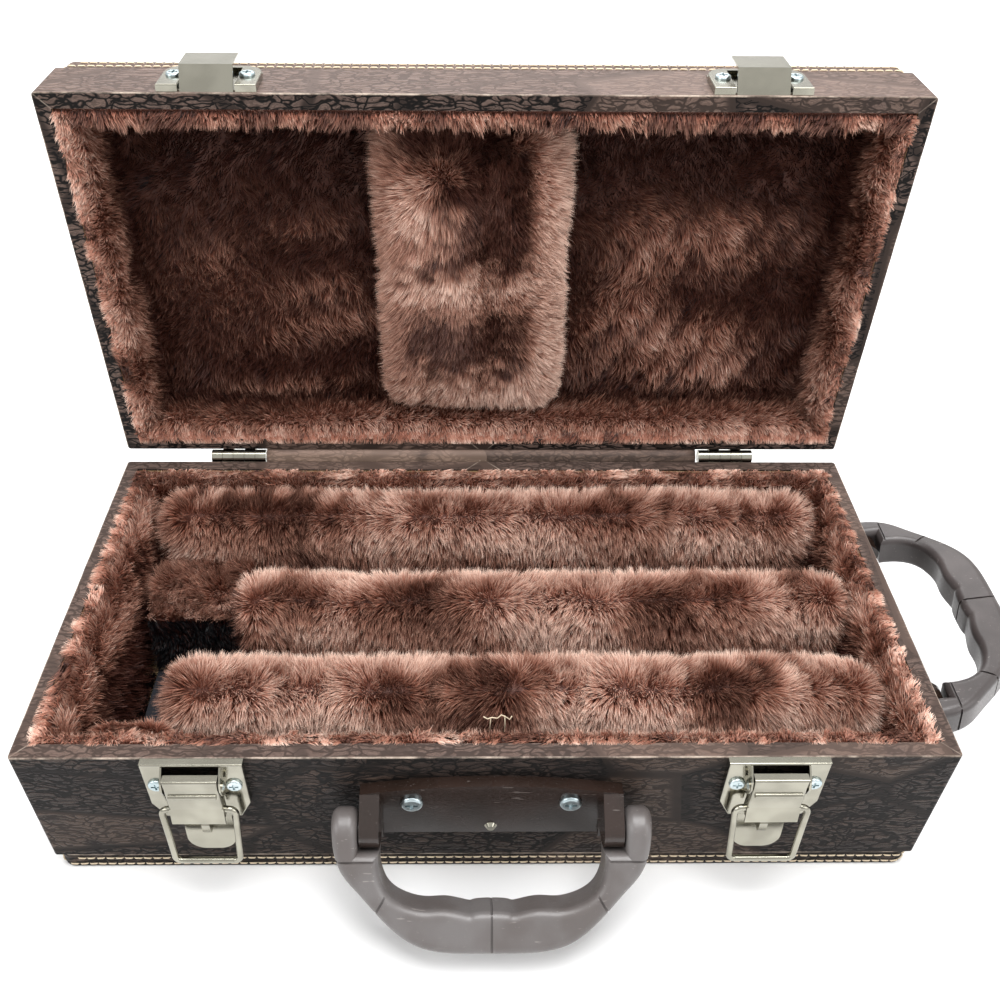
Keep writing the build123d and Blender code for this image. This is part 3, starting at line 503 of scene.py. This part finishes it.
def patch(corner, along, over, steps, bulge, seed):
    """A patch from a corner, one edge vector and the other.

    It is lifted by a sine arch of this bulge and a few long waves, which fade out over the
    last eighth of its length at both ends."""
    rng = np.random.default_rng(seed)
    u, t = np.meshgrid(np.linspace(0, 1, steps[0]), np.linspace(0, 1, steps[1]), indexing="ij")
    corner, along, over = (np.array(v, float) for v in (corner, along, over))
    up = np.cross(along, over)
    up = up / np.linalg.norm(up)
    waves = [u * rng.uniform(5, 25) + t * rng.uniform(2, 9) + rng.uniform(0, 6) for _ in range(4)]
    wave = sum(np.sin(phase) for phase in waves) * 0.25
    lift = (bulge * np.sin(math.pi * t) + wave) * np.minimum(1, 8 * np.minimum(u, 1 - u))
    return corner + u[..., None] * along + t[..., None] * over + lift[..., None] * up


def fibres(grid, number, length, comb, tone, seed, gather=0.35, width=0.4, sink=1.0, ragged=0.12, where=None):
    """Fibres on a grid: an (n, 4, 3) array of their points, and their tones.

    A fibre is a kite of root, one side, tip and other side, all in mm. Roots are spread
    evenly by area, times where(point) if that is given. Each fibre leaves along the normal
    plus what comb(root) adds, with scatter, and bends further over at its tip. Fibres whose
    roots share a cell of the lock's size have their tips drawn together by the gather
    share, and the locks' lengths differ by the ragged share."""
    lock = 2.4
    rng = np.random.default_rng(seed)
    p00, p10, p01 = grid[:-1, :-1], grid[1:, :-1], grid[:-1, 1:]
    area = np.linalg.norm(np.cross(p10 - p00, p01 - p00), axis=2)
    weight = area if where is None else area * where((p00 + grid[1:, 1:]) / 2)
    chance = (weight / weight.sum()).ravel()
    cell = rng.choice(len(chance), number, p=chance)
    i, j = np.divmod(cell, area.shape[1])
    s, t = rng.random(number)[:, None], rng.random(number)[:, None]

    def spread(values, s, t):
        return (values[i, j] * (1 - s) + values[i + 1, j] * s) * (1 - t) + (
            values[i, j + 1] * (1 - s) + values[i + 1, j + 1] * s
        ) * t

    up = normals_of(grid)
    root = spread(grid, s, t)
    normal = spread(up, s, t)
    normal /= np.linalg.norm(normal, axis=1, keepdims=True)
    root = root - normal * sink
    cells = np.floor(root / lock + rng.normal(0, 0.22, root.shape)).astype(int)
    reach, base = 900, 1800  # no cell number lies past plus or minus the reach
    key = ((cells[:, 0] + reach) * base + cells[:, 1] + reach) * base + cells[:, 2] + reach
    _, member = np.unique(key, return_inverse=True)
    member = member.ravel()
    locks = member.max() + 1
    tally = np.bincount(member, minlength=locks)[:, None]

    def shared(values):
        sums = np.stack([np.bincount(member, values[:, k], locks) for k in range(3)], 1)
        return (sums / tally)[member]

    pull = comb(root)
    lay = normal + pull + rng.normal(0, 0.17, root.shape) + rng.normal(0, 0.15, (locks, 3))[member]
    lay /= np.linalg.norm(lay, axis=1, keepdims=True)
    long = length * rng.uniform(0.75, 1.1, number) * rng.uniform(1 - ragged, 1 + ragged, locks)[member]
    long = long[:, None]
    tip = root + lay * long + pull * long * 0.18
    tip = tip + (shared(tip) - tip) * gather * rng.uniform(0.5, 1.2, number)[:, None]
    middle = root + (lay * 0.75 + normal * 0.25) * long * 0.5
    middle = middle + (shared(middle) - middle) * gather * 0.45
    side = np.cross(lay, normal) + rng.normal(0, 0.35, root.shape)
    side -= lay * (side * lay).sum(1, keepdims=True)
    half = width / 2 * rng.uniform(0.7, 1.2, number) / np.maximum(np.linalg.norm(side, axis=1), 1e-6)
    side *= half[:, None]
    points = np.stack([root, middle + side, tip, middle - side], 1)
    shade = tone(root)
    differ = rng.normal(0, 0.07, locks)[member] + rng.normal(0, 0.12, number)
    shade = shade + differ * np.clip(3 * shade, 0.1, 1)
    return points, np.clip(shade, 0.0, 0.98)


def furry(name, node, body, coats, limits=None):
    """One fur-covered piece in a CAD node's place: a closed dark skin on every grid, and its fibres.

    coats gives each grid, its fibres and their tones. limits are the lowest and highest
    corners between which the fibres are kept."""
    skin_points, skin_faces = [], []
    for grid, _, _ in coats:
        nu, nv = grid.shape[:2]
        up = normals_of(grid)
        top = sum(len(p) for p in skin_points) + np.arange(nu * nv).reshape(nu, nv)
        under = top + nu * nv
        skin_points += [(grid - up * 0.9).reshape(-1, 3), (grid - up * 2.0).reshape(-1, 3)]
        skin_faces += [
            (top[:-1, :-1], top[1:, :-1], top[1:, 1:], top[:-1, 1:]),
            (under[:-1, :-1], under[:-1, 1:], under[1:, 1:], under[1:, :-1]),
            (top[:-1, 0], under[:-1, 0], under[1:, 0], top[1:, 0]),
            (top[1:, -1], under[1:, -1], under[:-1, -1], top[:-1, -1]),
            (top[0, 1:], under[0, 1:], under[0, :-1], top[0, :-1]),
            (top[-1, :-1], under[-1, :-1], under[-1, 1:], top[-1, 1:]),
        ]
    skin = np.concatenate(skin_points)
    quads = np.concatenate([np.stack(corners, -1).reshape(-1, 4) for corners in skin_faces])
    hair = np.concatenate([points for _, points, _ in coats])
    tones = np.concatenate([shade for _, _, shade in coats])
    if limits is not None:
        hair = np.clip(hair, *limits)
    if body == "lid":
        skin, hair = opened(skin), opened(hair)
    count, base = len(hair), len(skin)
    corners = np.concatenate([skin, hair.reshape(-1, 3)]) / 1000
    loops = np.concatenate([quads.ravel(), base + np.arange(4 * count)])
    sizes = np.full(len(quads) + count, 4)
    mesh = bpy.data.meshes.new(name)
    mesh.vertices.add(len(corners))
    mesh.vertices.foreach_set("co", corners.ravel())
    mesh.loops.add(len(loops))
    mesh.loops.foreach_set("vertex_index", loops)
    mesh.polygons.add(len(sizes))
    mesh.polygons.foreach_set("loop_start", np.arange(len(sizes)) * 4)
    mesh.polygons.foreach_set("loop_total", sizes)
    mesh.polygons.foreach_set("use_smooth", np.ones(len(sizes), bool))
    mesh.update(calc_edges=True)
    uv = np.full((len(loops), 2), 0.3)
    uv[quads.size :, 0] = np.repeat(tones, 4)
    uv[quads.size :, 1] = np.tile([0.05, 0.55, 0.97, 0.55], count)
    mesh.uv_layers.new(name="OFBake").data.foreach_set("uv", uv.ravel())
    mesh.materials.append(pile)
    made = bpy.data.objects.new(name, mesh)
    bpy.context.collection.objects.link(made)
    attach(made, body)
    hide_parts(node)


def noise_field(seed, scale):
    """A smooth random field over points in mm, between about -1 and 1.

    It adds up seven sine waves with random directions, whose lengths are about the scale."""
    rng = np.random.default_rng(seed)
    waves = [(rng.normal(0, 1, 3) / scale, rng.uniform(0, 6.3)) for _ in range(7)]
    return lambda p: sum(np.sin(p @ k * 6.3 + phase) for k, phase in waves) / 2.6


def blobs(p, spots):
    """The sum of soft round spots, each given as x, y, its two radii and its strength."""
    return sum(e * np.exp(-(((p[:, 0] - a) / c) ** 2) - ((p[:, 1] - b) / d) ** 2) for a, b, c, d, e in spots)


# The three long ridges. Their pile stands up along the back edge, turns its ends up over
# the middle, and is combed down over the front face. Its tone is painted sheen and shade:
# bright along the back edge, dark over the middle, paler again at the bottom of the front
# face, and darker down into the channels.
def ridge(number, node, x, y, pale):
    """A ridge between these x and y limits. pale lightens all of its pile."""
    grid = mounded(x, y, (28.0, 68.0), 10.0, 30 + number, (90, 30))
    middle, half = (y[0] + y[1]) / 2, (y[1] - y[0]) / 2
    field = noise_field(50 + number, 60)
    fine = noise_field(70 + number, 22)
    stretch = np.array([0.45, 1.0, 1.0])

    def round_ridge(p):
        """1 at the back edge, -1 at the front edge, and down to -2 at the foot of the front face."""
        side = np.clip((p[:, 1] - middle) / half, -1.1, 1.1)
        return side - np.clip((66 - p[:, 2]) / 30, 0, 1) * (side < -0.5)

    def comb(p):
        q = round_ridge(p)
        at_right = np.clip((p[:, 0] - x[1] + 16) / 16, 0, 1)
        at_left = np.clip((x[0] + 14 - p[:, 0]) / 14, 0, 1)
        pull = np.zeros_like(p)
        pull[:, 0] = 0.4 * field(p) + 0.6 * at_right - 0.5 * at_left
        pull[:, 1] = 0.35 * np.clip(q, 0, 1) - 0.45 * np.clip(-q, 0, 1) + 0.2 * fine(p)
        pull[:, 2] = 0.3 * np.clip(q, 0, 1) - 0.5 * np.clip(-q - 0.7, 0, 1)
        return pull

    def tone(p):
        # The tone paints the sheen and shade: lit along the back edge, dark over the middle, paler at the
        # foot of the front face, and shaded down into the channels and in the front ridge's dimple.
        q = round_ridge(p) + 0.25 * fine(p)
        back = np.clip((q + 0.05) / 0.6, 0, 1)
        front = np.clip((-q - 0.85) / 0.4, 0, 1)
        clear_of_painted_shade = np.clip((p[:, 2] - 36) / 20, 0, 1)
        dimple_painted_shade = 0.4 * np.exp(-(((p[:, 0] - 4) / 6) ** 2) - ((p[:, 2] - 60) / 5) ** 2) * (p[:, 1] < -50)
        shade = 0.56 + pale + 0.38 * back + 0.2 * front + 0.38 * field(p * stretch) + 0.2 * fine(p) - dimple_painted_shade
        return np.maximum(shade, 0.2) * (0.2 + 0.8 * clear_of_painted_shade)

    def dense(p):
        return 0.3 + 1.2 * np.clip((p[..., 2] - 35) / 25, 0, 1)

    points, shade = fibres(grid, 85000, 8.8, comb, tone, 90 + number, where=dense, width=0.36)
    limits = (x[0] - 9, y[0] - 9, 26.8), (x[1] + 9, y[1] + 8.5, 77.8)
    furry(node + "_fur", node, "base", [(grid, points, shade)], limits)


ridge(0, "back_ridge", (-156.6, 161.6), (54.0, 76.0), 0.04)
ridge(1, "middle_ridge", (-110.0, 162.8), (-3.2, 16.6), 0.05)
ridge(2, "front_ridge", (-131.0, 162.8), (-54.8, -33.0), 0.15)

# A loose loop of pale sewing thread lies in a dimple of the front ridge's pile: two legs
# and a wavy bar, each a line of x and z points.
ties = (
    ((1.6, 69.5), (1.4, 65.0), (1.2, 59.0)),
    ((7.2, 70.8), (7.4, 64.9), (7.1, 58.6)),
    (
        (-1.3, 70.5), (0.3, 69.0), (2.0, 70.0), (4.2, 69.4),
        (5.8, 71.6), (7.4, 70.6), (9.2, 68.6), (10.0, 70.8),
    ),
)
loop_y, radius = -64.6, 0.26
points, faces = [], []
for path in ties:
    faces += tube_faces(len(points), len(path))
    heading = np.gradient(np.array(path), axis=0)
    heading /= np.linalg.norm(heading, axis=1)[:, None]
    for (x, z), (dx, dz) in zip(path, heading):
        for a in -np.arange(6) * math.pi / 3:
            across = radius * math.cos(a)
            points.append((x - dz * across, loop_y + radius * math.sin(a), z + dx * across))
loop = mesh_object("sewing_thread_loop", points, faces, thread)
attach(loop, "base")


rim_z = 78.0
inner_x, inner_y = 173.2, 82.2  # the inner faces of the walls


def settled(points, side, over=2.0):
    """Fibres kept inside the shell's walls, or laid flat on its rim.

    On the rim they reach at most this far over from the wall's inner edge. side is 1 for
    the base and -1 for the lid."""
    p = points.copy()
    height = np.minimum((p[..., 2] - rim_z) * side, -0.03)
    outside = (np.abs(p[..., 0]) > inner_x) | (np.abs(p[..., 1]) > inner_y)
    flat = outside & (height > -2.2)
    height = np.where(flat, -0.09, height)
    reach = np.where(flat, over, -0.2)
    p[..., 0] = np.clip(p[..., 0], -inner_x - reach, inner_x + reach)
    p[..., 1] = np.clip(p[..., 1], -inner_y - reach, inner_y + reach)
    p[..., 2] = rim_z + height * side
    return p


def turned(grid):
    """The grid with its x and y exchanged, still facing outwards."""
    return grid[:, ::-1, [1, 0, 2]]


def hung(grid):
    """The grid turned upside down, hanging from the lid's roof."""
    roof_z = 107.5
    flipped = grid[:, ::-1].copy()
    flipped[..., 2] = roof_z - flipped[..., 2]
    return flipped


# The liners of the base's four walls. Their pile rolls over the top edge and some of it
# lies out over the rim as a pale fringe.
def lining(node, grid, outward, number, seed, over, body="base", low=46.0, high=72.0, tint=0.0,
           fall=(0, 0, 0), long=8.0, extra=()):
    """One wall's liner. outward is the direction from the case's middle to the wall.

    Its pile darkens from high to low, and tint lightens it. Its fringe reaches over the rim
    by the distance over, and fall is the way in which it hangs, in the closed case's
    directions. extra holds further coats."""
    side = 1 if body == "base" else -1
    out = np.array(outward, float)
    field = noise_field(seed, 45)
    fine = noise_field(seed + 1, 14)
    rise = np.array([0, 0, 1.0]) * side
    along = np.array([abs(out[1]), abs(out[0]), 0])

    def height(p):
        share = np.clip((p[..., 2] - low) / (high - low), 0, 1)
        return share if side > 0 else 1 - share

    def comb(p):
        top = height(p)[:, None]
        return out * (1.2 * top - 0.6) + rise * (0.15 + 0.25 * top) + field(p)[:, None] * 0.3 * along

    # Painted shade: the pile's tone falls lower down the wall, deeper in the shell.
    def tone(p):
        h = height(p)
        shade = 0.03 + 0.7 * h**1.3 + (0.16 * field(p) + 0.12 * fine(p)) * (0.2 + h) + tint * h
        return np.maximum(shade, 0.045)

    def fringe_comb(p):
        lean = out * (0.25 * over + 0.4 * fine(p))[:, None]
        return lean + field(p)[:, None] * 0.5 * along + np.array(fall, float)

    def fringe_tone(p):
        return np.maximum(0.52 + 0.26 * field(p) + 0.18 * fine(p) + tint, 0.16)

    points, shade = fibres(grid, number, long, comb, tone, seed, where=lambda p: 0.35 + 1.3 * height(p))
    coats = [(grid, settled(points, side, over), shade), *extra]
    length, wall = (inner_x, inner_y) if out[1] else (inner_y, inner_x)
    run = np.linspace(-length, length, 90)
    sill = np.empty((90, 4, 3))
    order = 1 if (out[1] - out[0]) * side > 0 else -1
    for j, (off, down) in enumerate(((4.2, 3.2), (2.8, 2.0), (1.4, 1.3), (0.2, 0.9))[::order]):
        sill[:, j, 0] = run if out[1] else out[0] * (wall - off)
        sill[:, j, 1] = out[1] * (wall - off) if out[1] else run
        sill[:, j, 2] = rim_z - side * down
    points, shade = fibres(sill, int(length * 46), 5.2, fringe_comb, fringe_tone, seed + 200,
                           gather=0.5, sink=0.3, ragged=0.45)
    coats.append((sill, settled(points, side, over), shade))
    furry(node + "_fur", node, body, coats)


well_edge = patch((-172, -74, 6.5), (14, 0, 0), (0, 84, 0), (10, 40), 0.0, 15)
dark_points, dark_shade = fibres(well_edge, 7000, 4.0, lambda p: 0 * p, lambda p: 0 * p[:, 0], 15)
lining("base_front_liner", mounded((-171, 171), (-81.2, -77.2), (37, 73), 6, 11, (90, 18)),
       (0, -1, 0), 42000, 11, 1.4)
lining("base_back_liner", mounded((-171, 171), (79.2, 81.4), (37, 73), 6, 12, (90, 18)),
       (0, 1, 0), 36000, 12, 0.9)
lining("base_left_liner", turned(mounded((-81, 81), (-172, -166.5), (6, 72.5), 8, 13, (60, 24))),
       (-1, 0, 0), 38000, 13, 3.0, low=34, long=6.6, extra=[(well_edge, dark_points, dark_shade)])
lining("base_right_liner", turned(mounded((-81, 81), (168.2, 172.2), (33, 73), 8, 14, (60, 20))),
       (1, 0, 0), 28000, 14, 2.6)


# The block behind the front wall, the raised shelf for the barrel, and the channel floors.
def plain_fur(name, node, beds):
    """A piece in the base whose pile lies in swirls.

    Each bed gives a grid, a count, a length, a lay, a tone, how far the tone varies and a
    seed."""
    coats = []
    for grid, number, length, lay, level, varied, seed in beds:
        field, fine = noise_field(seed, 48), noise_field(seed + 1, 15)

        def comb(p):
            swirl = np.stack([field(p), field(p + 37.0), 0 * p[:, 0]], 1)
            return np.array(lay, float) + 0.4 * swirl

        def tone(p):
            return level * (1 + 0.2 * fine(p)) + varied * field(p)

        points, shade = fibres(grid, number, length, comb, tone, seed)
        coats.append((grid, settled(points, 1), shade))
    furry(name, node, "base", coats)


block = mounded((-157.5, -129.5), (-74, -60.5), (28, 62.5), 6, 21, (24, 20))
plain_fur("front_end_block_fur", "front_end_block", [(block, 13000, 7.5, (0, -0.2, 0), 0.5, 0.15, 21)])
shelf_top = patch((-159, 12.5, 43.5), (44.6, 0, 0), (0, 37.5, 0), (24, 20), 1.5, 22)
shelf_side = patch((-159, 12.2, 10.5), (44.6, 0, 0), (0, 0, 33), (24, 12), 0.5, 23)
plain_fur("barrel_shelf_fur", "barrel_shelf", [
    (shelf_top, 14000, 8.5, (0, -0.4, 0), 0.5, 0.2, 22),
    (shelf_side, 6000, 4.5, (0, 0, -0.3), 0.0, 0.0, 23),
])
floors = []
# The channel floors' pile has a low tone: painted shade at the bottom of the channels.
for seed, left, front, back in ((24, -112, 19, 51), (25, -117, -31, -5), (26, -127, -76, -57)):
    channel = patch((left, front, 26.0), (165 - left, 0, 0), (0, back - front, 0), (70, 10), 0.6, seed)
    floors.append((channel, 12000, 7.0, (0.2, 0, 0), 0.14, 0.08, seed))
plain_fur("base_floor_fur", "base_floor_liner", floors)


# The lid's lining: four wall liners, the roof, and the padded bar across its middle. In the
# open lid the fringe hangs down, which is towards the hinges.
lid_side = dict(body="lid", low=80.5, high=106.5)
lining("lid_front_liner", hung(mounded((-171, 171), (-81.4, -76.0), (0.5, 25.0), 6, 41, (90, 20))),
       (0, -1, 0), 40000, 41, 0.3, tint=-0.22, fall=(0, 0.7, 0), long=6.0, **lid_side)
lining("lid_back_liner", hung(mounded((-171, 171), (75.6, 81.4), (0.5, 25.0), 6, 42, (90, 20))),
       (0, 1, 0), 46000, 42, 3.4, fall=(0, 0.5, 0), long=7.0, **lid_side)
lining("lid_left_liner", hung(turned(mounded((-81, 81), (-172.4, -165.5), (0.5, 25.0), 6, 43, (60, 20)))),
       (-1, 0, 0), 30000, 43, 2.4, tint=0.04, fall=(0, 0.25, 0), long=6.5, **lid_side)
lining("lid_right_liner", hung(turned(mounded((-81, 81), (165.5, 172.4), (0.5, 25.0), 6, 44, (60, 20)))),
       (1, 0, 0), 30000, 44, 2.0, tint=-0.06, fall=(0, 0.25, 0), long=6.5, **lid_side)

roof = patch((-172, 81, 109.1), (344, 0, 0), (0, -162, 0), (110, 60), 1.2, 45)
cloud = noise_field(46, 80)
wisps = noise_field(47, 24)
# Patches of painted light on the roof's pile; the pile also droops there.
turned_to_light = (
    (-124, -3, 13, 22, 0.26), (-85, -20, 16, 9, 0.24), (-76, 20, 22, 15, 0.38), (-112, 30, 20, 16, 0.12),
    (-104, 68, 50, 9, 0.16), (98, -14, 34, 14, 0.48), (70, 12, 14, 22, 0.34), (96, 34, 36, 11, 0.46),
    (106, 58, 32, 10, 0.46), (54, 40, 14, 30, 0.14), (-150, 10, 10, 40, 0.12),
)


def roof_comb(p):
    """The roof's pile stands out towards the viewer and droops in the patches that are painted lit."""
    droop = 0.55 * blobs(p, turned_to_light)
    down = 0.1 + 1.6 * droop + 0.2 * cloud(p + 53.0)
    return np.stack([0.22 * cloud(p) + 0.3 * wisps(p), down, 0 * p[:, 0]], 1)


def roof_tone(p):
    """Near black, a painted shade, but for the patches that are turned to the light, which are painted light.
    """
    lit = blobs(p, turned_to_light)
    return 0.05 + 0.015 * wisps(p) + lit * (1.0 + 0.6 * wisps(p)) + 0.05 * np.clip(cloud(p), 0, 1)


def clear_of_bar(p):
    """0 behind the padded bar, where no pile is seen, and 1 elsewhere."""
    return np.where((np.abs(p[..., 0] + 6) < 32) & (np.abs(p[..., 1]) < 62), 0.0, 1.0)


points, shade = fibres(roof, 80000, 8.0, roof_comb, roof_tone, 48, width=0.44, where=clear_of_bar)
furry("lid_roof_fur", "lid_roof_liner", "lid", [(roof, settled(points, -1), shade)])

bar = hung(mounded((-42.5, 31.5), (-68.5, 68.5), (0.5, 22.0), 9, 49, (40, 60)))
bar_cloud = noise_field(50, 46)
bar_fine = noise_field(51, 17)


def bar_comb(p):
    """The bar's pile is combed off its middle to both sides and down, out of a whorl near its top left."""
    aside = np.clip((p[:, 0] + 5.5) / 38, -1, 1)
    off_x, off_y = p[:, 0] + 20, p[:, 1] + 46
    whorl = np.exp(-((off_x / 20) ** 2) - (off_y / 20) ** 2) / 12
    down = 0.25 + 0.4 * bar_cloud(p + 29.0) + whorl * off_y
    return np.stack([0.9 * aside**3 + 0.25 * aside + 0.25 * bar_cloud(p) + whorl * off_x, down, 0 * aside], 1)


def bar_tone(p):
    """The pile's painted sheen and shade: bright down both edges, beside the whorl and in two bands across,
    nearly black at the top right.
    """
    left = np.clip((-p[:, 0] - 33) / 6, 0, 1)
    right = np.clip((p[:, 0] - 16) / 6, 0, 1)
    wavy = p[:, 1] + 5 * bar_fine(p)
    bands = 0.66 * np.exp(-(((wavy + 2) / 8) ** 2)) + 0.72 * np.exp(-(((wavy - 58) / 12) ** 2))
    beside_whorl, top_right = (-29, -38, 10, 12, 0.62), (4, -40, 17, 26, -0.34)
    top_left, below_middle = (-22, -66, 14, 9, -0.2), (-6, 26, 26, 12, -0.2)
    spots = blobs(p, (beside_whorl, top_right, top_left, below_middle))
    middle = 0.24 + bands + spots + 0.1 * bar_cloud(p) + 0.14 * bar_fine(p)
    return np.maximum(middle, 0.09) * (1 - np.maximum(left, right)) + left * 0.56 + right * 0.86


points, shade = fibres(bar, 84000, 8.5, bar_comb, bar_tone, 52, width=0.4)
furry("lid_centre_bar_fur", "lid_centre_pad", "lid", [(bar, settled(points, -1), shade)])

# The bell well's floor has short navy plush.
plush, tree, shader = new_material("short_navy_plush")
where = add_node(tree, "TexCoord").outputs["Object"]
nap = add_node(tree, "TexNoise", Vector=where, Scale=900.0, Detail=3.0).outputs["Fac"]
tree.links.new(mixed(tree, between(tree, nap, 0.35, 0.65), "#0a0b12", "#141620"), shader.inputs["Base Color"])
shader.inputs["Roughness"].default_value = 0.9
shader.inputs["Sheen Weight"].default_value = 0.3
dress(plush, "bell_well_floor")
